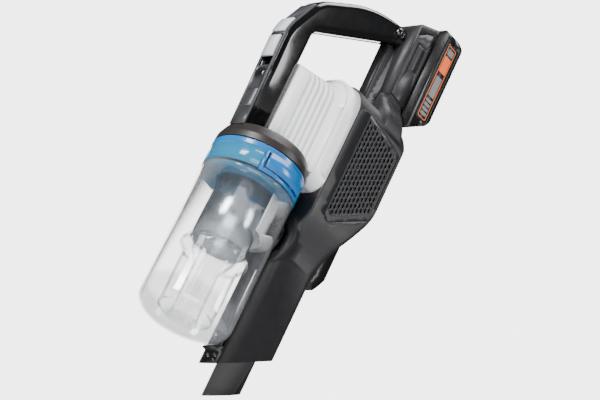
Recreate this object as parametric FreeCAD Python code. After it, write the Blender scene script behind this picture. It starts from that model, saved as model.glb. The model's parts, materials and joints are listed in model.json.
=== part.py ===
import FreeCAD, Part
import math
import os

# Hand unit of a cordless stick vacuum cleaner.
# Frame: origin at the centre of the inlet spigot's mouth, on the spigot's axis.
# +Z runs up the duct to the handle and battery, -X is the bin side, +X the battery side,
# and the object is the same on both sides of the plane Y = 0 but for its inlet vane.
# All lengths are in millimetres.

V = FreeCAD.Vector
GAP = 0.3                        # clearance between bodies that move apart

# --- driving dimensions -----------------------------------------------------------------
SPIGOT_R = 17.0
SPIGOT_BORE_R = 15.2
ELBOW_BORE_R = 14.4                # the elbow's step stops whatever slides into the spigot
SPIGOT_TOP = 82.0
MOUTH_SLOPE = 0.687              # mouth and duct end rise this much per mm towards +X
EXPOSED = 38.0                   # spigot that stands out of the duct

BODY_FRONT = -28.5
BODY_REAR = 51.0
BODY_HALF = 40.0
BODY_TOP = 353.0
BODY_WALL = 2.4
BODY_REAR_R = 6.0
ARCH_FLAT = 5.0                  # half the width of the flat on top of the body
DUCT_FRONT = -29.5
DUCT_REAR = 27.8
DUCT_HALF = 22.0
DUCT_R = 10.0
FLARE_LOW = 150.0
FLARE_HIGH = 250.0
FLARE_WIDE = 208.0               # the body has its full width from here up
FLARE_DEEP = 178.0               # and starts to deepen towards the back here
NECK_LOW = 316.0
NECK_TOP = 372.0

BIN_X = -82.5                    # the bin's axis
BIN_R = 50.0
CUP_R = 49.0
CUP_WALL = 1.8
CUP_FLOOR = 31.0
CUP_FOOT_R = 13.0
RING_TOP = 216.0
RIM_LOW = 210.5
BAND_LOW = 190.0
PORT_Z = 164.0
PORT_R = 15.0
PORT_BOSS_R = 33.5
PORT_BOSS_DEEP = 24.0

COLLAR_TOP = 236.0
COLLAR_TOP_R = 44.5
COLLAR_GAP = 0.9                 # between the bin's rim and the collar

WHITE_FRONT = -100.0
WHITE_REAR = -50.0
BAND_FRONT = -46.5
WHITE_LOW = 230.0
WHITE_TOP = 337.5
WHITE_DROP = 9.0                 # how much lower the top is at the handle
WHITE_WALL = 2.2
BAND_TOP = 348.5
BAND_BOTTOM = 221.0
RIB_COUNT = 6
RIB_PITCH = 6.1
RIB_FIRST = -87.5

HANDLE_HALF = 13.5
HANDLE_WALL = 2.6
HANDLE_FOOT = 229.0

TOWER_FRONT = 6.0
TOWER_REAR = 38.6
TOWER_HALF = 22.0
TOWER_TOP = 475.5
BATTERY_FRONT = 39.0
BATTERY_REAR = 67.0
BATTERY_HALF = 38.0
BATTERY_LOW = 350.0
BATTERY_TOP = 478.0
CASE_WALL = 2.2

MOTOR_Z = 280.0
MOTOR_R = 24.0
SHAFT_R = 2.5

# screws: (x, z) and, for the body, the half width of the shell there
BODY_SCREWS = [(20.6, 95.0, 22.0), (20.6, 140.0, 22.0), (21.0, 203.0, 39.5), (-21.0, 226.0, 39.9)]
SCREW_SINK = 9.0
HANDLE_SCREWS = [(-107.0, 300.0), (-72.0, 404.0)]

nodes = {}


def add(name, shape):
    nodes[name] = shape


# --- geometry helpers ---------------------------------------------------------------------
def rounded_wire(points, place):
    """Closed wire through (a, b, radius) corners, with a tangent arc at each radius."""
    count = len(points)
    ends = []
    for i in range(count):
        a, b, radius = points[i]
        here = FreeCAD.Vector(a, b, 0)
        back = V(points[i - 1][0], points[i - 1][1], 0) - here
        ahead = V(points[(i + 1) % count][0], points[(i + 1) % count][1], 0) - here
        back.normalize()
        ahead.normalize()
        if radius <= 0:
            ends.append((here, None, here))
            continue
        half_angle = back.getAngle(ahead) / 2
        cut = radius / math.tan(half_angle)
        middle = back + ahead
        middle.normalize()
        depth = radius / math.sin(half_angle) - radius
        ends.append((here + back * cut, here + middle * depth, here + ahead * cut))
    edges = []
    for i in range(count):
        start, middle, end = ends[i]
        if middle is not None:
            edges.append(Part.Arc(place(start), place(middle), place(end)).toShape())
        after = ends[(i + 1) % count][0]
        if (after - end).Length > 1e-4:
            edges.append(Part.makeLine(place(end), place(after)))
    return Part.Wire(edges)


def plate_y(points, y0, y1):
    """XZ outline of (x, z, radius) corners, thick from y0 to y1."""
    wire = rounded_wire(points, lambda p: V(p.x, y0, p.y))
    return Part.Face(wire).extrude(V(0, y1 - y0, 0))


def plate_x(points, x0, x1):
    """YZ outline of (y, z, radius) corners, thick from x0 to x1."""
    wire = rounded_wire(points, lambda p: V(x0, p.x, p.y))
    return Part.Face(wire).extrude(V(x1 - x0, 0, 0))


def plate_z(points, z0, z1):
    """XY outline of (x, y, radius) corners, thick from z0 to z1."""
    wire = rounded_wire(points, lambda p: V(p.x, p.y, z0))
    return Part.Face(wire).extrude(V(0, 0, z1 - z0))


def rect(a0, a1, b0, b1, r):
    """Corners of a rounded rectangle."""
    return [(a0, b0, r), (a1, b0, r), (a1, b1, r), (a0, b1, r)]


def box(x0, x1, y0, y1, z0, z1):
    return Part.makeBox(x1 - x0, y1 - y0, z1 - z0, V(x0, y0, z0))


def rod_z(x, y, r, z0, z1):
    return Part.makeCylinder(r, z1 - z0, V(x, y, z0))


def rod_x(y, z, r, x0, x1):
    return Part.makeCylinder(r, x1 - x0, V(x0, y, z), V(1, 0, 0))


def rod_y(x, z, r, y0, y1):
    return Part.makeCylinder(r, y1 - y0, V(x, y0, z), V(0, 1, 0))


def ring_z(x, y, r_out, r_in, z0, z1):
    return rod_z(x, y, r_out, z0, z1).cut(rod_z(x, y, r_in, z0 - 1, z1 + 1))


def ring_x(y, z, r_out, r_in, x0, x1):
    return rod_x(y, z, r_out, x0, x1).cut(rod_x(y, z, r_in, x0 - 1, x1 + 1))


def turned(points, x, y):
    """Solid of revolution about the vertical axis through (x, y) of (r, z, radius) corners."""
    wire = rounded_wire(points, lambda p: V(x + p.x, y, p.y))
    return Part.Face(wire).revolve(V(x, y, 0), V(0, 0, 1), 360)


def ease(t):
    return t * t * (3 - 2 * t)


def mix(a, b, t):
    return a + (b - a) * t


def mirror_y(shape):
    return shape.mirror(V(0, 0, 0), V(0, 1, 0))


def near_half(shape):
    return shape.common(box(-300, 300, -200, 0, -100, 600))


def far_half(shape):
    return shape.common(box(-300, 300, 0, 200, -100, 600))


def oblique_cutter(offset):
    """Everything below the slanted plane z = offset + MOUTH_SLOPE * x."""
    reach = 80.0
    points = [(-reach, offset - reach * MOUTH_SLOPE, 0), (reach, offset + reach * MOUTH_SLOPE, 0),
              (reach, -200, 0), (-reach, -200, 0)]
    return plate_y(points, -100, 100)


# --- main body ------------------------------------------------------------------------------
def level(z, x0, x1, half, r_front, r_rear):
    """One horizontal section of the body as a wire."""
    corners = [(x0, -half, r_front), (x1, -half, r_rear), (x1, half, r_rear), (x0, half, r_front)]
    return rounded_wire(corners, lambda p: V(p.x, p.y, z))


def body_solid(inset):
    """Duct, flare, motor housing and neck as one solid, shrunk all round by inset."""
    r_small = max(DUCT_R - inset, 0.5)
    duct = Part.Face(level(-40, DUCT_FRONT + inset, DUCT_REAR - inset, DUCT_HALF - inset,
                           r_small, r_small)).extrude(V(0, 0, FLARE_LOW + 40))
    front_r = 2.0
    rear_r = BODY_REAR_R - inset
    sections = []
    steps = 10
    for i in range(steps + 1):
        z = mix(FLARE_LOW, FLARE_HIGH, i / steps)
        wide = ease(min(1.0, (z - FLARE_LOW) / (FLARE_WIDE - FLARE_LOW)))
        deep = ease(max(0.0, z - FLARE_DEEP) / (FLARE_HIGH - FLARE_DEEP))
        sections.append(level(z, mix(DUCT_FRONT, BODY_FRONT, wide) + inset,
                              mix(DUCT_REAR, BODY_REAR, deep) - inset,
                              mix(DUCT_HALF, BODY_HALF, wide) - inset,
                              mix(r_small, front_r, wide), mix(r_small, rear_r, wide)))
    flare = Part.makeLoft(sections, True, False)
    half = BODY_HALF - inset
    top = BODY_TOP - inset
    upper = Part.Face(level(FLARE_HIGH, BODY_FRONT + inset, BODY_REAR - inset, half,
                            front_r, rear_r)).extrude(V(0, 0, BODY_TOP - FLARE_HIGH + 5))
    arch = plate_x([(-half, 100, 0), (half, 100, 0), (half, top, half - ARCH_FLAT),
                    (-half, top, half - ARCH_FLAT)], -60, 100)
    back = plate_y([(-60, 100, 0), (BODY_REAR - inset, 100, 0), (BODY_REAR - inset, 314, 12),
                    (40 - inset, top, 8), (-60, top, 0)], -60, 60)
    upper = upper.common(arch).common(back)
    neck_sections = []
    neck_steps = 5
    for i in range(neck_steps + 1):
        t = i / neck_steps
        early = ease(min(1.0, t * 1.7))
        late = ease(max(0.0, t - 0.45) / 0.55)
        neck_sections.append(level(mix(NECK_LOW, NECK_TOP, t), mix(0, TOWER_FRONT, t) + inset,
                                   mix(50, TOWER_REAR, early) - inset,
                                   mix(38, TOWER_HALF, late) - inset,
                                   mix(14, 8, t) - inset, mix(8, 5, t) - inset))
    neck = Part.makeLoft(neck_sections, True, False)
    return duct.fuse([flare, upper, neck]).removeSplitter()


GRILLE_FRONT = -12.0
GRILLE_LOW = 202.0
GRILLE_OUTLINE = [(-12.0, 206.0, 3.0), (-3.0, 200.5, 3.0), (45.0, 235.0, 3.0), (45.0, 316.0, 4.0),
                  (20.0, 321.0, 8.0), (-12.0, 328.0, 3.0)]
GRILLE_THICK = 1.6
GRILLE_LIP = 2.4                 # plain border round the slots, and the ledge behind it
SLOT_PITCH_X = 4.7
SLOT_PITCH_Z = 6.9
SLOT_LONG = 4.6
SLOT_WIDE = 2.3


def grille_wire(offset):
    """Face of the grille's outline on the plane y = -60, grown by offset."""
    wire = rounded_wire(GRILLE_OUTLINE, lambda p: V(p.x, -60, p.y))
    if offset != 0:
        wire = wire.makeOffset2D(offset)
    return Part.Face(wire)


def grille_plate():
    """Both grilles before their slots are cut: the body's outer skin within the grille's outline."""
    skin = body_solid(0).common(box(-60, 80, -60, 60, 190, 340))
    skin = skin.cut(body_solid(GRILLE_THICK)).cut(box(-60, 80, -24, 24, 0, 400))
    return skin.common(grille_wire(0).extrude(V(0, 120, 0)))


def port_boss(inset):
    """Flattened dome on the duct, round the bin port, behind the duct's front plane."""
    radius = PORT_BOSS_R - inset
    dome = Part.makeSphere(radius, V(0, 0, PORT_Z))
    squash = FreeCAD.Matrix()
    squash.scale(V((PORT_BOSS_DEEP - inset) / radius, 1, 1))
    squash.move(V(DUCT_FRONT - 1.5, 0, 0))
    front = DUCT_FRONT + inset
    return dome.transformGeometry(squash).common(box(front, 60, -60, 60, 100, 230))


def make_body():
    outer = body_solid(0).fuse(port_boss(0))
    inner = body_solid(BODY_WALL).fuse(port_boss(BODY_WALL))
    inner = inner.cut(box(-100, 100, -100, 100, -60, 60))
    cable_hole = box(14, 30, -12, 12, NECK_TOP - 10, NECK_TOP + 5)
    shell = outer.cut(inner).cut(oblique_cutter(EXPOSED)).cut(cable_hole).cut(contact_seat(0.05))
    # the spigot's seat, the bin port and the air way from the filter housing
    shell = shell.cut(rod_z(0, 0, SPIGOT_R, -60, 62))
    shell = shell.cut(rod_x(0, PORT_Z, 17.0, -60, -10))
    shell = shell.cut(rod_x(0, MOTOR_Z, 26.0, -60, -20))
    middle = box(-60, 80, -24, 24, 0, 400)
    ledge = grille_wire(-GRILLE_LIP).extrude(V(0, 120, 0))
    shell = shell.cut(grille_plate()).cut(ledge.cut(middle))
    # room for the battery above the shell's rear shoulder
    shell = shell.cut(box(BATTERY_FRONT - 0.5, 100, -60, 60, BATTERY_LOW - 0.8, 500))
    inside = body_solid(BODY_WALL * 0.5)
    for x, z, half in BODY_SCREWS:
        boss = rod_y(x, z, 3.4, -half, half)
        collar = rod_y(x, z, 6.4, half - SCREW_SINK - 2.4, half)
        shell = shell.fuse(boss.fuse(collar).common(inside))
        shell = shell.cut(rod_y(x, z, 4.4, half - SCREW_SINK, half + 10))
    add("body_shell_left", near_half(shell))
    add("body_shell_right", far_half(shell))


def make_grilles():
    plate = near_half(grille_plate())
    field = grille_wire(-GRILLE_LIP).extrude(V(0, 120, 0))
    slots = []
    columns = 12
    rows = 20
    for c in range(columns):
        x = GRILLE_FRONT + GRILLE_LIP + 1.4 + c * SLOT_PITCH_X
        for k in range(rows):
            z = GRILLE_LOW + (k + 0.5 * (c % 2)) * SLOT_PITCH_Z
            corners = [V(x + i * SLOT_WIDE / 2, 0, z + j * SLOT_LONG / 2) for i in (-1, 1) for j in (-1, 1)]
            if all(field.isInside(corner, 0.01, True) for corner in corners):
                slot = rect(x - SLOT_WIDE / 2, x + SLOT_WIDE / 2, z - SLOT_LONG / 2,
                            z + SLOT_LONG / 2, 0.9)
                slots.append(plate_y(slot, -BODY_HALF - 1, -20))
    plate = plate.cut(Part.makeCompound(slots))
    add("grille_left", plate)
    add("grille_right", mirror_y(plate))


def make_spigot():
    tube = ring_z(0, 0, SPIGOT_R - 0.02, SPIGOT_BORE_R, -30, SPIGOT_TOP)
    flange = ring_z(0, 0, 19.0, SPIGOT_BORE_R, 62.2, 65.0)
    spigot = tube.fuse(flange).removeSplitter().cut(oblique_cutter(0))
    add("inlet_spigot", spigot)
    add("spigot_seal", ring_z(0, 0, 19.0, SPIGOT_R, 65.1, 68.0))
    # elbow from the spigot's top to the bin port
    bend = 19.0
    low = SPIGOT_TOP + 0.2
    start = V(0, 0, low)
    turn = V(0, 0, PORT_Z - bend)
    level_start = V(-bend, 0, PORT_Z)
    outlet = V(BIN_X + BIN_R + 4.5, 0, PORT_Z)
    middle = V(-bend * (1 - math.sqrt(0.5)), 0, PORT_Z - bend * (1 - math.sqrt(0.5)))
    path = Part.Wire([Part.makeLine(start, turn), Part.Arc(turn, middle, level_start).toShape(),
                      Part.makeLine(level_start, outlet)])
    skin = []
    for r in (16.9, ELBOW_BORE_R):
        circle = Part.Wire(Part.makeCircle(r, start, V(0, 0, 1)))
        skin.append(path.makePipeShell([circle], True, False))
    add("inlet_elbow", skin[0].cut(skin[1]))
    gasket = ring_x(0, PORT_Z, 21.0, SPIGOT_BORE_R, BIN_X + BIN_R - 6, DUCT_FRONT)
    gasket = gasket.cut(rod_z(BIN_X, 0, BIN_R + 0.4, 100, 230))
    gasket = gasket.cut(rod_x(0, PORT_Z, 17.2, outlet.x - 0.3, 0))
    add("port_gasket", gasket)


PIVOT_X = BIN_X + CUP_R - CUP_FOOT_R     # the bin tilts about the centre of its foot's curve
PIVOT_Z = CUP_FLOOR + CUP_FOOT_R
PIVOT_R = 13.9
SOCKET_Y = 5.1
SOCKET_HALF = 2.7
SOCKET_Z = 26.0


def contact_seat(clear):
    """Space of the contact block in the duct's lower front face."""
    outline = [(-31.4 - clear, 16.0 - clear, 0), (-18.8 + clear, 16.0 - clear, 0),
               (-18.8 + clear, 36.5 + clear, 0), (-31.4 - clear, 36.5 + clear, 0.8)]
    return plate_y(outline, -10.4 - clear, 10.4 + clear)


def make_brackets():
    # contact block in the duct's front face, with two sockets for a powered wand
    # and with the cradle that the bin's foot rocks in
    cradle = box(PIVOT_X + 7.0, DUCT_FRONT - 0.05, -8, 8, SOCKET_Z + 3.6, PIVOT_Z + 3)
    cradle = cradle.cut(rod_y(PIVOT_X, PIVOT_Z, PIVOT_R + GAP, -20, 20))
    block = contact_seat(0).fuse(cradle).removeSplitter()
    sockets = []
    pins = []
    for y in (-SOCKET_Y, SOCKET_Y):
        sockets.append(box(-40, -22.5, y - SOCKET_HALF, y + SOCKET_HALF, SOCKET_Z - 2.6, SOCKET_Z + 2.6))
        pins.append(box(-26.0, -21.5, y - 0.4, y + 0.4, SOCKET_Z - 1.4, SOCKET_Z + 1.4))
    block = block.cut(Part.makeCompound(sockets)).cut(Part.makeCompound(pins))
    block = block.cut(oblique_cutter(EXPOSED - 0.2)).cut(rod_z(0, 0, SPIGOT_R + 0.1, -60, 100))
    add("contact_block", block)
    add("contact_pins", Part.makeCompound(pins))
    # rear hook that hangs the machine on its wall dock
    hook = [(DUCT_REAR, 148, 0), (40, 148, 2), (44.5, 156, 2), (49, 166, 2), (49, 205, 4),
            (46, 214, 2), (43, 214, 2), (DUCT_REAR, 176, 0)]
    arm = plate_y(hook, -10, 10)
    arm = arm.cut(plate_y([(36, 155, 1), (41, 160, 1), (45, 170, 1), (45, 196, 1), (36, 172, 1)],
                          -6, 6))
    arm = arm.cut(body_solid(0))
    pieces = sorted(arm.Solids, key=lambda s: s.Volume)
    add("dock_hook", pieces[-1])


# --- white filter housing ---------------------------------------------------------------------
def white_section(x, half, top, low, radius):
    corners = [(-half, low, 2.0), (half, low, 2.0), (half, top, radius), (-half, top, radius)]
    return rounded_wire(corners, lambda p: V(x, p.x, p.y))


def white_solid(inset, front, rear):
    """Wedge that widens from the handle to the band, shrunk by inset."""
    def half_at(x):
        return 21.0 + (x - WHITE_FRONT) * 0.24 - inset
    def top_at(x):
        return WHITE_TOP - WHITE_DROP * (WHITE_REAR - x) / (WHITE_REAR - WHITE_FRONT) - inset
    sections = []
    for x in (front, rear):
        half = half_at(x)
        sections.append(white_section(x, half, top_at(x), WHITE_LOW + inset, half - 4.0))
    return Part.makeLoft(sections, True, True)


def band_section(x, half, top, low):
    corners = [(-half, low, 15.0), (half, low, 15.0), (half, top, half - ARCH_FLAT),
               (-half, top, half - ARCH_FLAT)]
    return rounded_wire(corners, lambda p: V(x, p.x, p.y))


def make_white():
    clear_of_bin = rod_z(BIN_X, 0, BIN_R + 0.8, 150, RING_TOP + COLLAR_GAP)
    body = white_solid(0, WHITE_FRONT, WHITE_REAR)
    flare_in = white_section(WHITE_REAR, 33.0, WHITE_TOP, WHITE_LOW, 29.0)
    flare_out = white_section(BAND_FRONT - 0.1, 39.0, BAND_TOP - 2.0, WHITE_LOW, 36.5)
    body = body.fuse(Part.makeLoft([flare_in, flare_out], True, True))
    hollow = white_solid(WHITE_WALL, WHITE_FRONT + WHITE_WALL, BAND_FRONT + 5)
    body = body.cut(hollow).cut(rod_z(BIN_X + 10, 0, 20.0, WHITE_LOW - 5, WHITE_LOW + 10))
    grooves = []
    ring = white_solid(-3.0, WHITE_FRONT, WHITE_REAR).cut(white_solid(1.2, WHITE_FRONT - 1,
                                                                     WHITE_REAR + 1))
    for k in range(RIB_COUNT):
        x = RIB_FIRST + k * RIB_PITCH
        grooves.append(ring.common(box(x - 1.5, x + 1.5, -60, 60, WHITE_LOW + 8, 400)))
    body = body.cut(Part.makeCompound(grooves))
    plan = plate_z([(WHITE_FRONT + 0.6, -21.1, 7.0), (WHITE_REAR, -33.1, 0),
                    (BAND_FRONT, -39.2, 0), (BAND_FRONT, 39.2, 0), (WHITE_REAR, 33.1, 0),
                    (WHITE_FRONT + 0.6, 21.1, 7.0)], 200, 400)
    body = body.common(plan).cut(handle_solid(0, HANDLE_HALF)).cut(collar_solid())
    add("filter_housing", body)
    outer = Part.makeLoft([band_section(BAND_FRONT, BODY_HALF - 0.6, BAND_TOP, BAND_BOTTOM),
                           band_section(BODY_FRONT - 0.2, BODY_HALF, BAND_TOP + 2, BAND_BOTTOM - 2)],
                          True, True)
    inner = Part.makeLoft([band_section(BAND_FRONT - 1, 36.0, BAND_TOP - 4, WHITE_LOW + 3),
                           band_section(BODY_FRONT + 1, 36.0, BAND_TOP - 4, WHITE_LOW + 3)],
                          True, True)
    band = outer.cut(inner).cut(clear_of_bin).cut(collar_solid())
    add("filter_band", band)
    # pleated filter cartridge and its frame
    frame_outer = white_solid(WHITE_WALL + 0.4, -92.0, -52.0).cut(collar_solid())
    frame_inner = white_solid(WHITE_WALL + 2.6, -93.0, -51.0)
    rim = frame_outer.cut(frame_inner).common(box(-58.0, -52.0, -60, 60, 0, 500))
    add("filter_frame", rim)
    core = white_solid(WHITE_WALL + 8.0, -88.0, -59.0)
    for i in range(13):
        y = -18.0 + i * 3.0
        core = core.cut(box(-100, -65.0, y - 0.6, y + 0.6, 247.0, 400))
    add("pre_filter", core)


def collar_solid():
    """Dished cap above the bin, before its air hole is cut."""
    profile = [(0, RING_TOP + 3.4, 0), (47.0, RING_TOP + 3.4, 0), (47.0, RING_TOP + COLLAR_GAP, 0),
               (BIN_R - 0.2, RING_TOP + COLLAR_GAP, 0.6), (BIN_R - 0.6, RING_TOP + 8.0, 6.0),
               (COLLAR_TOP_R, COLLAR_TOP, 5.0), (0, COLLAR_TOP, 0)]
    return turned(profile, BIN_X, 0)


def make_collar():
    collar = collar_solid()
    collar = collar.cut(rod_z(BIN_X, 0, 26.0, RING_TOP, COLLAR_TOP + 5))
    collar = collar.cut(box(BODY_FRONT - 0.05, 100, -100, 100, 100, 300))
    add("bin_collar", collar)
    add("collar_seal", ring_z(BIN_X, 0, 46.6, 42.0, RING_TOP + 1.0, RING_TOP + 3.3))


# --- handle -----------------------------------------------------------------------------------
HANDLE_OUTER = [(-128.0, HANDLE_FOOT, 0), (-132.5, 350.0, 60.0), (-111.0, 400.0, 45.0),
                (-45.0, 445.0, 150.0), (TOWER_FRONT, 453.5, 0)]
HANDLE_INNER = [(TOWER_FRONT, 430.0, 0), (-6.0, 427.0, 6.0), (-101.0, 368.0, 14.0),
                (-99.3, HANDLE_FOOT, 0)]


PIN_X = -3.6
PIN_Z = 442.0


def handle_outline(y):
    return rounded_wire(HANDLE_OUTER + HANDLE_INNER, lambda p: V(p.x, y, p.y))


def handle_solid(inset, half):
    wire = handle_outline(-half)
    if inset != 0:
        wire = wire.makeOffset2D(-inset)
    return Part.Face(wire).extrude(V(0, 2 * half, 0))


def round_long_edges(shape, half, radius):
    """Round the edges that lie in the two side planes y = -half and y = half."""
    picked = []
    for edge in shape.Edges:
        bb = edge.BoundBox
        flat = bb.YMax - bb.YMin < 1e-3 and abs(abs(bb.YMax) - half) < 1e-3
        at_end = bb.XMin > TOWER_FRONT - 0.1 or bb.ZMax < HANDLE_FOOT + 0.1
        if flat and not at_end:
            picked.append(edge)
    return shape.makeFillet(radius, picked)


def make_handle():
    outer = round_long_edges(handle_solid(0, HANDLE_HALF), HANDLE_HALF, 7.5)
    inner = handle_solid(HANDLE_WALL, HANDLE_HALF - HANDLE_WALL)
    trim_zone = box(-200, -104.0, -10.4, 10.4, HANDLE_FOOT + 4, 392.0)
    trim = handle_solid(-0.6, 10.4).cut(handle_solid(2.2, 20)).common(trim_zone)
    trim = max(trim.Solids, key=lambda s: s.Volume)
    shell = outer.cut(inner).cut(handle_solid(-2.0, 10.4).cut(handle_solid(2.2, 20)).common(trim_zone))
    # holes behind the trim for the button, the slider and the wiring
    shell = shell.cut(box(-140, -124, -6, 6, 346, 362)).cut(box(-140, -124, -5, 5, 310, 342))
    pin = rod_y(PIN_X, PIN_Z, 4.0, -HANDLE_HALF - 1.0, HANDLE_HALF + 1.0)
    shell = shell.cut(rod_y(PIN_X, PIN_Z, 4.0, -30, 30))
    shell = shell.cut(box(TOWER_FRONT - 0.1, 30, -40, 40, 400, 500)).cut(collar_solid())
    for x, z in HANDLE_SCREWS:
        boss = rod_y(x, z, 3.2, -HANDLE_HALF, HANDLE_HALF).common(handle_solid(1.3, HANDLE_HALF - 1.3))
        shell = shell.fuse(boss)
        shell = shell.cut(rod_y(x, z, 3.4, HANDLE_HALF - 2.5, HANDLE_HALF + 10))
    add("handle_left", near_half(shell))
    add("handle_right", far_half(shell))
    dome = Part.makeSphere(5.2, V(PIN_X, -HANDLE_HALF + 1.2, PIN_Z))
    cap = dome.common(box(-20, 20, -40, -HANDLE_HALF, 400, 500))
    pin = pin.fuse([cap, mirror_y(cap)]).removeSplitter()
    add("handle_pin", pin)
    button_hole = box(-150, -110, -8.9, 8.9, 344.0, 363.6)
    slider_slot = box(-150, -110, -8.4, 8.4, 303.0, 340.6)
    window_seat = plate_x(rect(-7.0, 7.0, 288.5, 300.5, 5.9), -150, -130.6 + 0.2)
    badge_seat = plate_x(rect(-9.0, 9.0, 254.0, 276.0, 1.5), -150, -128.6)
    trim = trim.cut(Part.makeCompound([button_hole, slider_slot])).cut(window_seat).cut(badge_seat)
    trim = trim.cut(collar_solid())
    trim = max(trim.Solids, key=lambda s: s.Volume)
    add("handle_trim", trim)
    window = plate_x(rect(-6.9, 6.9, 288.6, 300.4, 5.8), -131.3, -130.4)
    add("status_window", window)
    badge = plate_x(rect(-8.9, 8.9, 254.1, 275.9, 1.5), -129.5, -128.6)
    add("badge_plate", badge)
    # power button: a pad on a guide stem, follows the lean of the handle's front
    pad = handle_solid(-2.8, 8.6).cut(handle_solid(0.2, 20)).common(
        box(-150, -104, -8.6, 8.6, 344.4, 363.2))
    pad = max(pad.Solids, key=lambda s: s.Volume)
    stem = box(-130.5, -121.5, -5.5, 5.5, 349.0, 359.0)
    add("power_button", pad.fuse(stem).removeSplitter())
    pad = handle_solid(-3.0, 8.0).cut(handle_solid(0.3, 20)).common(
        box(-150, -104, -8.0, 8.0, 314.0, 338.0))
    pad = max(pad.Solids, key=lambda s: s.Volume)
    stem = box(-132.6, -123.0, -4.5, 4.5, 321.0, 333.0)
    add("speed_slider", pad.fuse(stem).removeSplitter())
    add("control_board", box(-119.5, -117.9, -9.0, 9.0, 262.0, 364.0))


PILLAR_HALF = 6.0


def make_pillar():
    rear = TOWER_FRONT - 0.1
    outline = [(-5.0, 345.0, 0), (-6.0, 426.5, 0), (rear, 429.5, 0), (rear, 345.0, 0)]
    core = plate_y(outline, -PILLAR_HALF, PILLAR_HALF)
    picked = []
    for edge in core.Edges:
        bb = edge.BoundBox
        if bb.ZMax - bb.ZMin > 50 and bb.XMax < 0:
            picked.append(edge)
    core = core.makeFillet(2.5, picked)
    # side panels with a web that spreads to the tower at its foot
    side = -PILLAR_HALF + 0.4
    panel = plate_y([(-3.4, 345.0, 0), (rear, 345.0, 0), (rear, 428.0, 0), (-3.4, 424.0, 1.0)],
                    side - 1.2, side)
    foot = rounded_wire([(-2.4, side, 0), (rear, side, 0), (rear, -17.5, 0)], lambda p: V(p.x, p.y, 345.0))
    head = rounded_wire([(4.6, side, 0), (rear, side, 0), (rear, side - 1.6, 0)],
                        lambda p: V(p.x, p.y, 426.0))
    panel = panel.fuse(Part.makeLoft([foot, head], True, True)).removeSplitter()
    panels = [panel, mirror_y(panel)]
    core = core.cut(panels[0]).cut(panels[1]).cut(body_solid(0)).cut(handle_solid(0, HANDLE_HALF))
    core = max(core.Solids, key=lambda solid: solid.Volume)
    add("rear_pillar", core)
    fitted = []
    for piece in panels:
        piece = piece.cut(body_solid(0)).cut(handle_solid(0, HANDLE_HALF))
        fitted.append(max(piece.Solids, key=lambda solid: solid.Volume))
    add("pillar_panels", Part.makeCompound(fitted))


# --- battery and its dock -----------------------------------------------------------------------
RAIL_HALF = 17.4
NECK_HALF = 14.2


def make_dock():
    outline = [(TOWER_FRONT, NECK_TOP, 0), (TOWER_FRONT, 454.0, 2.5), (12.0, 464.5, 3.0),
               (TOWER_REAR, TOWER_TOP, 1.0), (TOWER_REAR, NECK_TOP, 0)]
    plan = plate_z([(TOWER_FRONT, -TOWER_HALF, 7.0), (TOWER_REAR, -TOWER_HALF, 0.5),
                    (TOWER_REAR, TOWER_HALF, 0.5), (TOWER_FRONT, TOWER_HALF, 7.0)], 300, 500)
    tower = plate_y(outline, -TOWER_HALF, TOWER_HALF).common(plan)
    cavity = box(21.6, 33.0, -RAIL_HALF - 0.5, RAIL_HALF + 0.5, NECK_TOP + 3.0, 500)
    throat = box(27.6, 50.0, -NECK_HALF - 0.5, NECK_HALF + 0.5, NECK_TOP + 3.0, 500)
    tower = tower.cut(cavity).cut(throat)
    cover_outline = [(14.2, 376.0, 1.5), (37.8, 372.6, 0.5), (37.8, 461.5, 1.0), (31.0, 463.0, 2.0),
                     (24.0, 459.5, 2.0), (14.2, 451.0, 1.5)]
    cover = plate_y(cover_outline, -TOWER_HALF - 0.8, -TOWER_HALF + 1.2)
    emboss = plate_y(rect(19.0, 32.0, 412.0, 444.0, 2.0), -TOWER_HALF - 2, -TOWER_HALF - 0.4)
    emboss = emboss.cut(plate_y(rect(20.1, 30.9, 413.1, 442.9, 1.2), -40, 0))
    tower = tower.cut(plate_y(cover_outline, -40, -TOWER_HALF + 1.2))
    tower = tower.cut(plate_y(cover_outline, TOWER_HALF - 1.2, 40))
    cover = cover.cut(emboss)
    add("battery_dock", tower)
    add("dock_cover_left", cover)
    add("dock_cover_right", mirror_y(cover))
    blades = []
    for i in range(4):
        y = -9.0 + 6.0 * i
        blades.append(box(23.6, 30.6, y - 0.4, y + 0.4, NECK_TOP + 3.0, 394.0))
    add("dock_terminals", Part.makeCompound(blades))


BATTERY_OUTLINE = [(BATTERY_FRONT, BATTERY_LOW, 1.5), (BATTERY_FRONT, BATTERY_TOP, 2.0),
                   (55.0, BATTERY_TOP, 8.0), (BATTERY_REAR, 463.0, 8.0),
                   (BATTERY_REAR, 378.0, 6.0), (60.0, 366.0, 4.0)]


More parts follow.
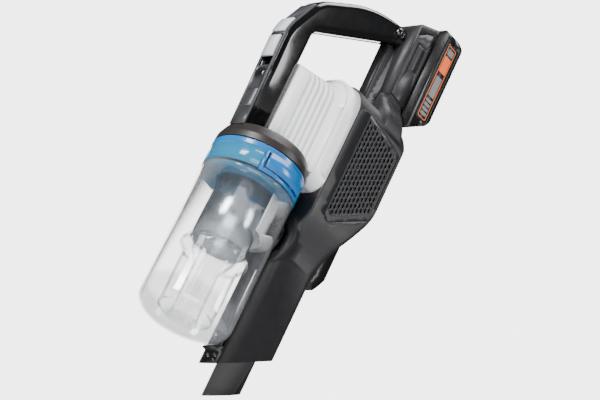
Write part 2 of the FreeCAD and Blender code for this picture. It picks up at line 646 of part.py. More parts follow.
def make_battery():
    block = plate_y(BATTERY_OUTLINE, -BATTERY_HALF, BATTERY_HALF)
    plan = plate_z([(BATTERY_FRONT, -BATTERY_HALF, 2.5), (BATTERY_REAR, -BATTERY_HALF, 6.0),
                    (BATTERY_REAR, BATTERY_HALF, 6.0), (BATTERY_FRONT, BATTERY_HALF, 2.5)], 300, 500)
    rear_view = plate_x([(-BATTERY_HALF, 300, 0), (BATTERY_HALF, 300, 0), (BATTERY_HALF, BATTERY_TOP, 14.0),
                         (-BATTERY_HALF, BATTERY_TOP, 14.0)], 0, 100)
    block = block.common(plan).common(rear_view)
    hollow = box(BATTERY_FRONT + 3, BATTERY_REAR - CASE_WALL, -BATTERY_HALF + CASE_WALL + 1,
                 BATTERY_HALF - CASE_WALL - 1, 372.0, 456.0)
    block = block.cut(hollow)
    split = 51.0
    front_half = block.common(box(0, split, -60, 60, 300, 500))
    rear_half = block.common(box(split, 100, -60, 60, 300, 500))
    rail = box(22.6, 32.6, -RAIL_HALF, RAIL_HALF, NECK_TOP + 4.0, 462.0)
    stalk = box(31.6, BATTERY_FRONT + 0.5, -NECK_HALF, NECK_HALF, NECK_TOP + 4.0, 462.0)
    head = rail.fuse(stalk)
    for i in range(4):
        y = -9.0 + 6.0 * i
        head = head.cut(box(18, 32.1, y - 1.6, y + 1.6, 300, 397.0))
    front_half = front_half.fuse(head).removeSplitter()
    latch_seat = box(44.5, 57.5, -11.4, 11.4, 461.4, 490)
    front_half = front_half.cut(latch_seat)
    rear_half = rear_half.cut(latch_seat)
    label_seat = plate_y(rect(42.2, 58.6, 367.6, 462.0, 2.5), -60, -BATTERY_HALF + 0.5)
    both = [label_seat, mirror_y(label_seat)]
    front_half = front_half.cut(both[0]).cut(both[1])
    rear_half = rear_half.cut(both[0]).cut(both[1])
    add("battery_case_front", front_half)
    add("battery_case_rear", rear_half)
    label = plate_y(rect(42.3, 58.5, 367.7, 461.9, 2.5), -BATTERY_HALF - 0.1, -BATTERY_HALF + 0.5)
    add("battery_labels", Part.makeCompound([label, mirror_y(label)]))
    cells = []
    for i in range(4):
        cells.append(rod_y(54.6, 381.6 + 19.3 * i, 9.2, -32.5, 32.5))
    add("battery_cells", Part.makeCompound(cells))
    clips = []
    for i in range(4):
        y = -9.0 + 6.0 * i
        for side in (-1.2, 1.2):
            clips.append(box(24.6, 29.6, y + side - 0.2, y + side + 0.2, 380.0, 397.0))
    add("battery_terminals", Part.makeCompound(clips))
    key = plate_y([(45.0, 464.8, 0.5), (57.0, 464.8, 0.5), (57.0, 476.0, 2.5), (54.0, 479.6, 2.0),
                   (45.0, 479.6, 1.5)], -11.0, 11.0)
    add("battery_latch", key)


# --- motor and fan --------------------------------------------------------------------------------
def make_motor():
    can = ring_x(0, MOTOR_Z, MOTOR_R, MOTOR_R - 1.6, -4, 36)
    for x0, x1 in ((-4, -2), (34, 36)):
        can = can.fuse(ring_x(0, MOTOR_Z, MOTOR_R, 7.0, x0, x1))
    vents = []
    for i in range(8):
        a = math.radians(45 * i + 22.5)
        y = 15 * math.cos(a)
        z = MOTOR_Z + 15 * math.sin(a)
        vents.append(rod_x(y, z, 3.5, -10, 50))
    can = can.removeSplitter().cut(Part.makeCompound(vents))
    add("motor_can", can)
    stator = ring_x(0, MOTOR_Z, MOTOR_R - 1.7, 14.6, 6, 28)
    for i in range(6):
        a = math.radians(60 * i)
        y = 18.5 * math.cos(a)
        z = MOTOR_Z + 18.5 * math.sin(a)
        stator = stator.cut(rod_x(y, z, 2.6, 0, 40))
    add("motor_stator", stator)
    bearings = [ring_x(0, MOTOR_Z, 7.0, SHAFT_R + 0.05, -4, 0),
                ring_x(0, MOTOR_Z, 7.0, SHAFT_R + 0.05, 32, 36)]
    add("motor_bearings", Part.makeCompound(bearings))
    shaft = rod_x(0, MOTOR_Z, SHAFT_R, -22, 38)
    magnet = ring_x(0, MOTOR_Z, 14.0, SHAFT_R - 0.5, 4, 30)
    add("motor_rotor", shaft.fuse(magnet).removeSplitter())
    hub = rod_x(0, MOTOR_Z, 8.0, -21.8, -8.5).cut(rod_x(0, MOTOR_Z, SHAFT_R, -40, 40))
    disc = ring_x(0, MOTOR_Z, 27.0, 7.5, -10.5, -8.5)
    wheel = hub.fuse(disc)
    blades = []
    for i in range(9):
        blade = box(-19.5, -10.0, -0.7, 0.7, MOTOR_Z + 7.0, MOTOR_Z + 25.0)
        blade.rotate(V(0, 0, MOTOR_Z + 7.0), V(1, 0, 0), 32)
        blade.rotate(V(0, 0, MOTOR_Z), V(1, 0, 0), 40 * i)
        blades.append(blade)
    wheel = wheel.fuse(blades).removeSplitter()
    add("impeller", wheel)
    shroud = rod_x(0, MOTOR_Z, 31.0, -25.5, -4.6).cut(rod_x(0, MOTOR_Z, 29.0, -23.5, -4))
    shroud = shroud.cut(rod_x(0, MOTOR_Z, 13.0, -30, -20))
    add("fan_shroud", shroud)
    mounts = []
    for x0, x1 in ((-3.5, 3.0), (30.0, 35.0)):
        mount = ring_x(0, MOTOR_Z, MOTOR_R + 5.0, MOTOR_R + 0.05, x0, x1)
        for i in range(4):
            ear = box(x0, x1, MOTOR_R + 4.0, 36.2 if i % 2 == 0 else 34.0, -4, 4)
            ear.rotate(V(0, 0, 0), V(1, 0, 0), 90 * i)
            ear.translate(V(0, 0, MOTOR_Z))
            mount = mount.fuse(ear)
        mounts.append(mount.removeSplitter())
    add("motor_mounts", Part.makeCompound(mounts))
    block = plate_x(rect(-30.0, 30.0, 246.0, 314.0, 10.0), 39.0, 47.5)
    for i in range(9):
        y = -24.0 + 6.0 * i
        block = block.cut(box(42.5, 60.0, y - 1.2, y + 1.2, 243.0, 309.0))
    add("exhaust_filter", block)
    add("motor_board", box(-14.0, 22.0, -15.0, 15.0, 222.0, 223.6))


# --- dust bin -----------------------------------------------------------------------------------
def arc_sector(r_out, r_in, z0, z1, mid_deg, half_deg):
    """Part of a ring about the bin's axis, half_deg each side of mid_deg."""
    band = ring_z(BIN_X, 0, r_out, r_in, z0, z1)
    reach = 120.0
    a0 = math.radians(mid_deg - half_deg)
    a1 = math.radians(mid_deg + half_deg)
    am = math.radians(mid_deg)
    corners = [V(BIN_X, 0, z0)]
    for a in (a0, am, a1):
        corners.append(V(BIN_X + reach * math.cos(a), reach * math.sin(a), z0))
    corners.append(corners[0])
    wedge = Part.Face(Part.makePolygon(corners)).extrude(V(0, 0, z1 - z0))
    return band.common(wedge)


LATCH_SPAN = 31.0


def make_bin():
    inner_r = CUP_R - CUP_WALL
    cup = turned([(0, CUP_FLOOR, 0), (CUP_R, CUP_FLOOR, CUP_FOOT_R), (CUP_R, 213.0, 0),
                  (inner_r, 213.0, 0), (inner_r, CUP_FLOOR + CUP_WALL, CUP_FOOT_R - CUP_WALL),
                  (0, CUP_FLOOR + CUP_WALL, 0)], BIN_X, 0)
    cup = cup.cut(rod_x(0, PORT_Z, PORT_R, BIN_X + 20, BIN_X + 60))
    # round shoe on the foot's rear, which turns in the cradle
    shoe = rod_y(PIVOT_X, PIVOT_Z, PIVOT_R, -7, 7).common(box(PIVOT_X + 6.5, 0, -8, 8, 20, PIVOT_Z + 7))
    cup_solid = turned([(0, CUP_FLOOR, 0), (CUP_R, CUP_FLOOR, CUP_FOOT_R), (CUP_R, 213.0, 0),
                        (0, 213.0, 0)], BIN_X, 0)
    shoe = max(shoe.cut(cup_solid).Solids, key=lambda solid: solid.Volume)
    add("bin_cup", cup.fuse(shoe).removeSplitter())
    rim = turned([(CUP_R + 0.05, RIM_LOW, 0), (BIN_R, RIM_LOW, 0.4), (BIN_R, RING_TOP, 1.0),
                  (44.0, RING_TOP, 0.4), (44.0, 213.2, 0), (CUP_R + 0.05, 213.2, 0)], BIN_X, 0)
    band = ring_z(BIN_X, 0, BIN_R - 0.2, CUP_R + 0.05, BAND_LOW, RIM_LOW)
    frames = []
    doors = []
    for mid in (-90.0, 90.0):
        frame = arc_sector(BIN_R + 1.4, CUP_R + 0.05, BAND_LOW - 1.5, RIM_LOW, mid, LATCH_SPAN + 3.5)
        door = arc_sector(BIN_R + 4.0, CUP_R + 0.02, BAND_LOW + 2.0, RIM_LOW - 0.8, mid, LATCH_SPAN)
        frames.append(frame.cut(door))
        doors.append(arc_sector(BIN_R + 4.0, CUP_R - 3, BAND_LOW - 1.6, RIM_LOW + 0.1, mid,
                                LATCH_SPAN + 3.5))
    add("bin_rim", rim.fuse(frames).removeSplitter())
    add("rim_band", band.cut(Part.makeCompound(doors)))
    for name, mid in (("latch_left", -90.0), ("latch_right", 90.0)):
        side = math.copysign(1.0, mid)
        pad = arc_sector(BIN_R + 3.0, CUP_R + 1.9, BAND_LOW + 2.6, RIM_LOW - 1.4, mid,
                         LATCH_SPAN - 1.6)
        pad.translate(V(0, 0.9 * side, 0))
        add(name, pad)
    head = turned([(0, 187.6, 0), (31.0, 187.6, 0), (31.0, 184.0, 1.0), (45.2, 184.0, 1.5),
                   (inner_r - 0.1, 187.0, 0), (inner_r - 0.1, 212.5, 0), (41.0, 212.5, 0),
                   (38.0, 196.0, 0), (0, 196.0, 0)], BIN_X, 0)
    head = head.cut(ring_z(BIN_X, 0, 60, 45.4, 188.4, 190.8))
    head = head.cut(rod_z(BIN_X, 0, 12.0, 150, 230))
    add("cyclone_head", head)
    add("bin_seal", ring_z(BIN_X, 0, inner_r, 45.4, 188.5, 190.7))
    mesh = ring_z(BIN_X, 0, 29.0, 28.0, 118.0, 187.4)
    add("mesh_shroud", mesh)
    # clear skirt: flares out below the mesh and drops as an outer sleeve
    skirt = turned([(27.8, 117.8, 0), (29.4, 117.8, 0), (35.6, 110.0, 2.0), (35.6, 106.5, 2.0),
                    (29.0, 99.0, 2.0), (28.6, 40.0, 0), (27.2, 40.0, 0), (27.6, 99.6, 1.0),
                    (34.0, 107.2, 1.0), (34.0, 109.4, 1.0)], BIN_X, 0)
    add("cone_skirt", skirt)
    # inner funnel, waist tube and foot ring on the cup's floor
    funnel = turned([(14.2, 90.0, 6.0), (14.2, 44.0, 3.0), (16.0, CUP_FLOOR + CUP_WALL + 0.05, 0),
                     (14.6, CUP_FLOOR + CUP_WALL + 0.05, 0), (12.8, 44.6, 2.0), (12.8, 90.4, 6.0),
                     (25.6, 116.0, 0), (27.2, 116.0, 0)], BIN_X, 0)
    add("inner_funnel", funnel)
    # tangential inlet duct inside the cup
    wall = arc_sector(36.9, 35.7, 140.0, 187.0, -34.0, 46.0)
    lid = arc_sector(inner_r - 0.1, 35.7, 182.8, 184.0 - 0.1, -24.0, 36.0)
    floor = arc_sector(inner_r - 0.1, 35.7, 143.0, 144.2, -24.0, 36.0)
    wall = wall.common(box(-200, 200, -200, 200, 140, 183.9))
    vane = wall.fuse([lid, floor]).removeSplitter()
    add("inlet_vane", vane)


# --- fasteners ------------------------------------------------------------------------------------
def screw(x, z, y_head, length, r):
    """Cross-head screw driven towards -Y, with its head's face at y_head."""
    shank = rod_y(x, z, r, y_head - length, y_head)
    head = rod_y(x, z, 2.0 * r, y_head - 1.2 * r, y_head)
    body = shank.fuse(head).removeSplitter()
    for across, up in ((1.3 * r, 0.25 * r), (0.25 * r, 1.3 * r)):
        body = body.cut(box(x - across, x + across, y_head - 0.7 * r, y_head + 1, z - up, z + up))
    return body


def seat_screws(screws, names):
    """Cut the screws' own shape out of the shells they hold."""
    tool = Part.makeCompound(screws)
    for name in names:
        nodes[name] = nodes[name].cut(tool)


def make_screws():
    screws = []
    for x, z, half in BODY_SCREWS:
        screws.append(screw(x, z, half - SCREW_SINK + 2.4, 16.0, 1.5))
    seat_screws(screws, ("body_shell_left", "body_shell_right"))
    add("body_screws", Part.makeCompound(screws))
    screws = []
    for x, z in HANDLE_SCREWS:
        screws.append(screw(x, z, HANDLE_HALF - 0.6, 18.0, 1.3))
    seat_screws(screws, ("handle_left", "handle_right"))
    add("handle_screws", Part.makeCompound(screws))


def make_all():
    make_body()
    make_grilles()
    make_spigot()
    make_brackets()
    make_white()
    make_collar()
    make_handle()
    make_pillar()
    make_dock()
    make_battery()
    make_motor()
    make_bin()
    make_screws()


make_all()
os.makedirs("parts", exist_ok=True)
for name, shape in nodes.items():
    shape.exportStep(os.path.join("parts", name + ".step"))
    print(name, shape.ShapeType, len(shape.Solids), round(shape.Volume), shape.isValid())
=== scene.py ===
import json
import math

import bmesh
import bpy
from mathutils import Matrix, Vector


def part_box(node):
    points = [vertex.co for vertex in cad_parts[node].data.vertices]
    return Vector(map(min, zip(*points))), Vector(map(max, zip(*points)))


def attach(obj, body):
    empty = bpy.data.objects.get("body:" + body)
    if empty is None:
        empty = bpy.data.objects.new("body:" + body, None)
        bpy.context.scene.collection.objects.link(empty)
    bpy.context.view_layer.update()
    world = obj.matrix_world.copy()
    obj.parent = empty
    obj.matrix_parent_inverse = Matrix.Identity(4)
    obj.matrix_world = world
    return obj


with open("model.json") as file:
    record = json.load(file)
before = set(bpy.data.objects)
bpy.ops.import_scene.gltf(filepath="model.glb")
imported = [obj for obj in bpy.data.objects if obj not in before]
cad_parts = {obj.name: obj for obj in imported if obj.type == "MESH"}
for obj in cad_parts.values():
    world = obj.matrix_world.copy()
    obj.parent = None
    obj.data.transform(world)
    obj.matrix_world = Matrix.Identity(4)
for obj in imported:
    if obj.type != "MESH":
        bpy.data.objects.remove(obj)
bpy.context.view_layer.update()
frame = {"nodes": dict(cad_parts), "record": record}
NODES = frame["nodes"]
MM = 0.001

# --- driving values ---------------------------------------------------------------------
CAMERA_PLACE = Vector((-1.3786, -1.7442, -0.8138))
CAMERA_AZIMUTH = math.radians(38.0)
CAMERA_RISE = math.radians(25.04)
CAMERA_ROLL = math.radians(25.73)
CAMERA_LENS = 146.0
SENSOR_WIDTH = 36.0
BACKDROP = (4.5, 4.5, 4.5, 1.0)          # seen straight behind the object
SURROUND = (0.10, 0.105, 0.11, 1.0)      # seen in its reflections
CLEAR_WALLS = 24                         # see-through faces that one light path may cross

LIGHT_TARGET = (-0.02, 0.0, 0.24)
SOFTBOXES = [                            # name, place, width, height, power
    ("key_softbox", (-2.1, -0.45, 0.7), 0.55, 1.9, 95.0),
    ("side_softbox", (0.75, -1.9, 0.6), 0.45, 1.8, 34.0),
    ("top_softbox", (0.1, -0.2, 2.2), 1.4, 1.0, 34.0),
    ("back_softbox", (0.9, 1.7, 0.5), 1.0, 1.4, 20.0),
    ("low_softbox", (-1.3, -1.5, -0.9), 1.3, 1.3, 24.0),
]

FLOOR_Z = -1.6
FLOOR_SIZE = 9.0
FLOOR_GLOW = 0.25                        # keeps the far floor pale

SMOOTH_NODES = 32.0                      # degrees; a sharper edge stays an edge
SMOOTH_PIECES = 35.0
PAINTED_REFLECTION_HEIGHT = 0.034                     # painted reflection of the floor whitens the cup's foot up to here
# height over which the painted floor reflection on the cup's foot fades out
PAINTED_REFLECTION_FADE = 0.012
OWN_LOOK = {"inlet_vane": "vane", "bin_cup": "cup"}    # nodes unlike the rest of their slot

PRINT_THICK = 0.1 * MM
PRINT_FRAME = 0.8 * MM
PRINT_MARGIN_X = 1.6 * MM
PRINT_MARGIN_Z = 2.0 * MM
PRINT_BLOCK = (0.64, 0.86)               # bottom and top, as shares of the print's height
PRINT_BARS = [(0.885, 0.965), (0.30, 0.58), (0.045, 0.085), (0.105, 0.145), (0.165, 0.205),
              (0.225, 0.265)]


# --- camera, light and floor ------------------------------------------------------------
def make_camera():
    side, rise, roll = CAMERA_AZIMUTH, CAMERA_RISE, CAMERA_ROLL
    forward = Vector((math.sin(side) * math.cos(rise), math.cos(side) * math.cos(rise), math.sin(rise)))
    level = Vector((math.cos(side), -math.sin(side), 0.0))
    up = level.cross(forward)
    right_axis = level * math.cos(roll) + up * math.sin(roll)
    up_axis = up * math.cos(roll) - level * math.sin(roll)
    turn = Matrix((right_axis, up_axis, -forward)).transposed().to_4x4()
    data = bpy.data.cameras.new("camera")
    data.lens = CAMERA_LENS
    data.sensor_width = SENSOR_WIDTH
    data.clip_end = 50.0
    camera = bpy.data.objects.new("camera", data)
    camera.matrix_world = Matrix.Translation(CAMERA_PLACE) @ turn
    bpy.context.scene.collection.objects.link(camera)
    bpy.context.scene.camera = camera


def area_light(name, place, width, height, power):
    data = bpy.data.lights.new(name, "AREA")
    data.shape = "RECTANGLE"
    data.size = width
    data.size_y = height
    data.energy = power
    light = bpy.data.objects.new(name, data)
    light.location = place
    aim = Vector(LIGHT_TARGET) - Vector(place)
    light.rotation_euler = aim.to_track_quat("-Z", "Y").to_euler()
    bpy.context.scene.collection.objects.link(light)


def make_lights():
    for softbox in SOFTBOXES:
        area_light(*softbox)


def make_world():
    """Pale behind the object, dim in its reflections, and light that passes all the clear walls."""
    bpy.context.scene.cycles.transparent_max_bounces = CLEAR_WALLS
    world = bpy.data.worlds.new("studio")
    bpy.context.scene.world = world
    world.use_nodes = True
    tree = world.node_tree
    tree.nodes.clear()
    out = tree.nodes.new("ShaderNodeOutputWorld")
    mix = tree.nodes.new("ShaderNodeMixShader")
    seen = tree.nodes.new("ShaderNodeBackground")
    around = tree.nodes.new("ShaderNodeBackground")
    path = tree.nodes.new("ShaderNodeLightPath")
    seen.inputs["Color"].default_value = BACKDROP
    around.inputs["Color"].default_value = SURROUND
    tree.links.new(path.outputs["Is Camera Ray"], mix.inputs[0])
    tree.links.new(around.outputs[0], mix.inputs[1])
    tree.links.new(seen.outputs[0], mix.inputs[2])
    tree.links.new(mix.outputs[0], out.inputs["Surface"])


# --- materials --------------------------------------------------------------------------
def new_material(name):
    """Empty material with a Principled shader; returns its tree, shader and object coordinates."""
    material = bpy.data.materials.new(name)
    material.use_nodes = True
    tree = material.node_tree
    shader = tree.nodes["Principled BSDF"]
    place = tree.nodes.new("ShaderNodeTexCoord")
    return material, tree, shader, place.outputs["Object"]


def noise(tree, vector, scale, detail=3.0, rough=0.55):
    """Noise from 0 to 1, mostly between 0.3 and 0.7."""
    node = tree.nodes.new("ShaderNodeTexNoise")
    node.inputs["Scale"].default_value = scale
    node.inputs["Detail"].default_value = detail
    node.inputs["Roughness"].default_value = rough
    tree.links.new(vector, node.inputs["Vector"])
    return node.outputs["Fac"]


def remap(tree, value, low, high, start=0.3, end=0.7):
    """Value from start to end, stretched to run from low to high."""
    node = tree.nodes.new("ShaderNodeMapRange")
    node.inputs["From Min"].default_value = start
    node.inputs["From Max"].default_value = end
    node.inputs["To Min"].default_value = low
    node.inputs["To Max"].default_value = high
    tree.links.new(value, node.inputs["Value"])
    return node.outputs["Result"]


def blend_colour(tree, value, low, high):
    node = tree.nodes.new("ShaderNodeMix")
    node.data_type = "RGBA"
    node.inputs["A"].default_value = (*low, 1.0)
    node.inputs["B"].default_value = (*high, 1.0)
    tree.links.new(value, node.inputs["Factor"])
    return node.outputs["Result"]


def add_bump(tree, shader, height, strength, distance):
    node = tree.nodes.new("ShaderNodeBump")
    node.inputs["Strength"].default_value = strength
    node.inputs["Distance"].default_value = distance
    tree.links.new(height, node.inputs["Height"])
    tree.links.new(node.outputs["Normal"], shader.inputs["Normal"])


def scaled(colour, factor):
    return tuple(min(1.0, channel * factor) for channel in colour)


def plastic(name, colour, rough, grain=2200.0, bump=0.12, coat=0.0, spread=0.10):
    """Moulded plastic: spark-eroded grain, uneven sheen and slightly uneven colour."""
    material, tree, shader, where = new_material(name)
    cloud = noise(tree, where, 28.0, 4.0, 0.6)
    speck = noise(tree, where, grain, 2.0, 0.5)
    tone = blend_colour(tree, remap(tree, cloud, 0.0, 1.0), scaled(colour, 1.0 - spread),
                        scaled(colour, 1.0 + spread))
    tree.links.new(tone, shader.inputs["Base Color"])
    sheen = remap(tree, noise(tree, where, 90.0, 6.0, 0.7), rough * 0.85, rough * 1.2)
    tree.links.new(sheen, shader.inputs["Roughness"])
    shader.inputs["Coat Weight"].default_value = coat
    shader.inputs["Coat Roughness"].default_value = 0.06
    add_bump(tree, shader, speck, bump, 0.0002)
    return material


def metal(name, colour, rough, grain=700.0):
    """Turned metal with fine uneven streaks."""
    material, tree, shader, where = new_material(name)
    shader.inputs["Metallic"].default_value = 1.0
    streak = noise(tree, where, grain, 5.0, 0.7)
    tone = blend_colour(tree, remap(tree, streak, 0.0, 1.0), scaled(colour, 0.85), scaled(colour, 1.1))
    tree.links.new(tone, shader.inputs["Base Color"])
    tree.links.new(remap(tree, streak, rough * 0.8, rough * 1.3), shader.inputs["Roughness"])
    add_bump(tree, shader, streak, 0.08, 0.0001)
    return material


def clear_plastic(name, colour, centre, edge, rough=0.04, mirror=0.0, painted_reflection_alpha=0.0, painted_reflection_top=None):
    """See-through plastic that closes up towards its edges; below the given top height it is made more
    opaque and whiter, a painted reflection of the floor.
    """
    material, tree, shader, where = new_material(name)
    smudge = noise(tree, where, 45.0, 5.0, 0.65)
    tone = blend_colour(tree, remap(tree, smudge, 0.0, 1.0), scaled(colour, 0.92), colour)
    tree.links.new(tone, shader.inputs["Base Color"])
    tree.links.new(remap(tree, smudge, rough, rough * 2.2), shader.inputs["Roughness"])
    shader.inputs["Specular IOR Level"].default_value = 0.9
    shader.inputs["Coat Weight"].default_value = 0.3
    shader.inputs["Metallic"].default_value = mirror
    facing = tree.nodes.new("ShaderNodeLayerWeight")
    facing.inputs["Blend"].default_value = 0.5
    closed = remap(tree, facing.outputs["Facing"], centre, edge, 0.62, 0.97)
    # painted reflection of the floor: below the top height the surface is made more opaque, so it looks
    # whiter
    if painted_reflection_top is not None:
        height = tree.nodes.new("ShaderNodeSeparateXYZ")
        tree.links.new(where, height.inputs[0])
        painted_reflection = remap(tree, height.outputs["Z"], painted_reflection_alpha, 0.0, painted_reflection_top - PAINTED_REFLECTION_FADE, painted_reflection_top)
        alpha_with_reflection = tree.nodes.new("ShaderNodeMath")
        alpha_with_reflection.operation = "MAXIMUM"
        tree.links.new(closed, alpha_with_reflection.inputs[0])
        tree.links.new(painted_reflection, alpha_with_reflection.inputs[1])
        closed = alpha_with_reflection.outputs[0]
    tree.links.new(closed, shader.inputs["Alpha"])
    return material


def cloth(name, colour, grain):
    """Dull fibrous sheet for filters and foam."""
    material, tree, shader, where = new_material(name)
    fibre = noise(tree, where, grain, 8.0, 0.75)
    tone = blend_colour(tree, fibre, scaled(colour, 0.7), scaled(colour, 1.2))
    tree.links.new(tone, shader.inputs["Base Color"])
    shader.inputs["Roughness"].default_value = 0.9
    add_bump(tree, shader, fibre, 0.5, 0.0005)
    return material


def perforated_steel(name, centre_x, radius):
    """Fine punched sheet: rows of tiny holes round the vertical axis at centre_x."""
    material, tree, shader, where = new_material(name)
    nodes, links = tree.nodes, tree.links
    parts = nodes.new("ShaderNodeSeparateXYZ")
    links.new(where, parts.inputs[0])

    def calc(operation, first, second):
        node = nodes.new("ShaderNodeMath")
        node.operation = operation
        for socket, value in zip(node.inputs, (first, second)):
            if isinstance(value, float):
                socket.default_value = value
            else:
                links.new(value, socket)
        return node.outputs[0]

    pitch = 0.0011
    across = calc("SUBTRACT", parts.outputs["X"], centre_x)
    angle = calc("ARCTAN2", parts.outputs["Y"], across)
    turn = calc("SINE", calc("MULTIPLY", angle, round(math.tau * radius / pitch) * 1.0), 0.0)
    height = calc("SINE", calc("MULTIPLY", parts.outputs["Z"], math.tau / pitch), 0.0)
    hole = calc("MULTIPLY", turn, height)
    shader.inputs["Metallic"].default_value = 1.0
    dark, light = (0.10, 0.12, 0.15), (0.62, 0.68, 0.74)
    links.new(blend_colour(tree, remap(tree, hole, 1.0, 0.0, 0.25, 0.45), dark, light),
              shader.inputs["Base Color"])
    links.new(remap(tree, noise(tree, where, 60.0), 0.16, 0.30), shader.inputs["Roughness"])
    add_bump(tree, shader, hole, 0.15, 0.0001)
    return material


def make_materials():
    mesh_low, mesh_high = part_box("mesh_shroud")
    axis_x = (mesh_low.x + mesh_high.x) / 2
    mesh_r = (mesh_high.x - mesh_low.x) / 2
    return {
        "body_shell": plastic("charcoal_shell", (0.012, 0.012, 0.0135), 0.46),
        "gloss_black": plastic("gloss_black", (0.002, 0.002, 0.0025), 0.14, 900.0, 0.03, 0.5),
        "satin_black": plastic("satin_black", (0.003, 0.003, 0.0035), 0.34),
        "collar_grey": plastic("collar_grey", (0.020, 0.017, 0.016), 0.38),
        "trim_grey": plastic("trim_grey", (0.040, 0.041, 0.045), 0.36, coat=0.1),
        "dock_grey": plastic("dock_grey", (0.022, 0.022, 0.024), 0.42),
        "button_grey": plastic("button_grey", (0.55, 0.58, 0.60), 0.30),
        "white": plastic("warm_white", (0.86, 0.87, 0.88), 0.33, bump=0.06, spread=0.02),
        "blue": plastic("bright_blue", (0.004, 0.14, 0.42), 0.24, 900.0, 0.04, 0.4),
        "teal_clear": clear_plastic("tinted_clear", (0.02, 0.28, 0.50), 0.55, 0.95),
        "clear": clear_plastic("clear", (0.62, 0.64, 0.67), 0.07, 0.93, 0.05, 0.6),
        # 0.30 is the opacity of the painted floor reflection on the cup's foot
        "cup": clear_plastic("clear_cup", (0.62, 0.64, 0.67), 0.07, 0.93, 0.05, 0.6, 0.30,
                             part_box("bin_cup")[0].z + PAINTED_REFLECTION_HEIGHT),
        "vane": clear_plastic("milky_vane", (0.93, 0.94, 0.95), 0.86, 0.95, 0.15),
        "mesh_steel": perforated_steel("mesh_steel", axis_x, mesh_r),
        "rubber": plastic("rubber", (0.015, 0.015, 0.016), 0.75, 1500.0, 0.3),
        "filter": cloth("filter_cloth", (0.70, 0.70, 0.67), 900.0),
        "foam": cloth("black_foam", (0.03, 0.03, 0.035), 1400.0),
        "copper": metal("contact_metal", (0.80, 0.52, 0.28), 0.25),
        "steel": metal("turned_steel", (0.55, 0.56, 0.58), 0.28),
        "board": plastic("board_green", (0.02, 0.11, 0.05), 0.35, 3000.0, 0.2),
        "window": plastic("smoked_window", (0.004, 0.004, 0.006), 0.08, 900.0, 0.02, 0.6),
        "label": plastic("label_black", (0.008, 0.007, 0.007), 0.42, 3000.0, 0.05),
        "cell": plastic("cell_wrap", (0.05, 0.20, 0.30), 0.25, 900.0, 0.05, 0.3),
    }


def dress_nodes(materials):
    """Give every CAD node its material, welded seams and smooth shading between its edges."""
    slots = {}
    for part in frame["record"]["subparts"]:
        slots[part["node"]] = part["material_slot"]
    for name, piece in NODES.items():
        piece.data.materials.clear()
        piece.data.materials.append(materials[OWN_LOOK.get(name, slots[name])])
        weld = piece.modifiers.new("weld", "WELD")
        weld.merge_threshold = 1e-6
        smooth_by_angle(piece, SMOOTH_NODES)


def smooth_by_angle(piece, degrees):
    mesh = piece.data
    for face in mesh.polygons:
        face.use_smooth = True
    mesh.set_sharp_from_angle(angle=math.radians(degrees))


# --- mesh helpers -----------------------------------------------------------------------
def link_mesh(name, build, material, body):
    """Object from a bmesh; it rides on body and takes the given material."""
    mesh = bpy.data.meshes.new(name)
    build.normal_update()
    build.to_mesh(mesh)
    build.free()
    piece = bpy.data.objects.new(name, mesh)
    bpy.context.scene.collection.objects.link(piece)
    mesh.materials.append(material)
    smooth_by_angle(piece, SMOOTH_PIECES)
    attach(piece, body)
    return piece


def rounded_outline(x0, x1, z0, z1, radius, steps=6):
    """Points of a rounded rectangle in X and Z, anticlockwise."""
    corners = [(x1 - radius, z1 - radius, 0), (x0 + radius, z1 - radius, 90),
               (x0 + radius, z0 + radius, 180), (x1 - radius, z0 + radius, 270)]
    points = []
    for cx, cz, start in corners:
        for i in range(steps + 1):
            angle = math.radians(start + 90.0 * i / steps)
            points.append((cx + radius * math.cos(angle), cz + radius * math.sin(angle)))
    return points


def add_plate(build, outline, y_face, y_back, hole=None):
    """Plate from an XZ outline between two Y planes, with an equal-count hole if given."""
    loops = []
    for shape in (outline, hole):
        if shape is None:
            continue
        for y in (y_face, y_back):
            loops.append([build.verts.new((x, y, z)) for x, z in shape])
    count = len(outline)
    if hole is None:
        build.faces.new(loops[0])
        build.faces.new(list(reversed(loops[1])))
        pairs = [(loops[0], loops[1])]
    else:
        pairs = [(loops[0], loops[1]), (loops[1], loops[3]), (loops[3], loops[2]), (loops[2], loops[0])]
    for first, second in pairs:
        for i in range(count):
            j = (i + 1) % count
            build.faces.new((first[i], second[i], second[j], first[j]))
    bmesh.ops.recalc_face_normals(build, faces=build.faces)


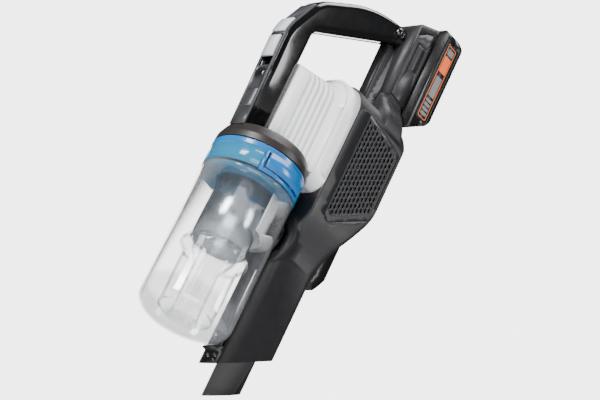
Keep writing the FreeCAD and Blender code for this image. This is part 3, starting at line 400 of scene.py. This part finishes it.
# --- battery label ----------------------------------------------------------------------
def make_label_prints():
    """Plain blocks of colour on the battery's labels: a frame, one bright block and grey bars."""
    orange = plastic("label_orange", (0.85, 0.14, 0.02), 0.36, 3000.0, 0.05)
    grey = plastic("label_grey", (0.17, 0.17, 0.17), 0.40, 3000.0, 0.05)
    low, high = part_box("battery_labels")
    left, right = low.x + PRINT_MARGIN_X, high.x - PRINT_MARGIN_X
    bottom, top = low.z + PRINT_MARGIN_Z, high.z - PRINT_MARGIN_Z
    width, height = right - left, top - bottom

    def block(inset, span, radius):
        """Rounded block inset from both sides by a share of the width, over a span of the height."""
        return rounded_outline(left + inset * width, right - inset * width, bottom + span[0] * height,
                               bottom + span[1] * height, radius)

    rim = rounded_outline(left, right, bottom, top, 2.4 * MM)
    rim_hole = rounded_outline(left + PRINT_FRAME, right - PRINT_FRAME, bottom + PRINT_FRAME,
                               top - PRINT_FRAME, 1.7 * MM)
    for side, face in (("left", low.y), ("right", high.y)):
        outward = -PRINT_THICK if face < 0 else PRINT_THICK
        front, back = face + outward, face - outward
        build = bmesh.new()
        add_plate(build, rim, front, back, rim_hole)
        add_plate(build, block(0.12, PRINT_BLOCK, 0.6 * MM), front, back)
        link_mesh("label_print_" + side, build, orange, "battery")
        build = bmesh.new()
        for span in PRINT_BARS:
            add_plate(build, block(0.16, span, 0.4 * MM), front, back)
        link_mesh("label_bars_" + side, build, grey, "battery")


# --- floor ------------------------------------------------------------------------------
def make_floor():
    build = bmesh.new()
    bmesh.ops.create_grid(build, x_segments=8, y_segments=8, size=FLOOR_SIZE)
    mesh = bpy.data.meshes.new("floor")
    build.to_mesh(mesh)
    build.free()
    floor = bpy.data.objects.new("floor", mesh)
    floor.location = (0.0, 0.0, FLOOR_Z)
    bpy.context.scene.collection.objects.link(floor)
    paint = plastic("pale_floor", (0.85, 0.85, 0.85), 0.6, 60.0, 0.02, spread=0.02)
    shader = paint.node_tree.nodes["Principled BSDF"]
    shader.inputs["Emission Color"].default_value = (1.0, 1.0, 1.0, 1.0)
    shader.inputs["Emission Strength"].default_value = FLOOR_GLOW
    mesh.materials.append(paint)


make_camera()
make_world()
make_lights()
make_floor()
dress_nodes(make_materials())
make_label_prints()
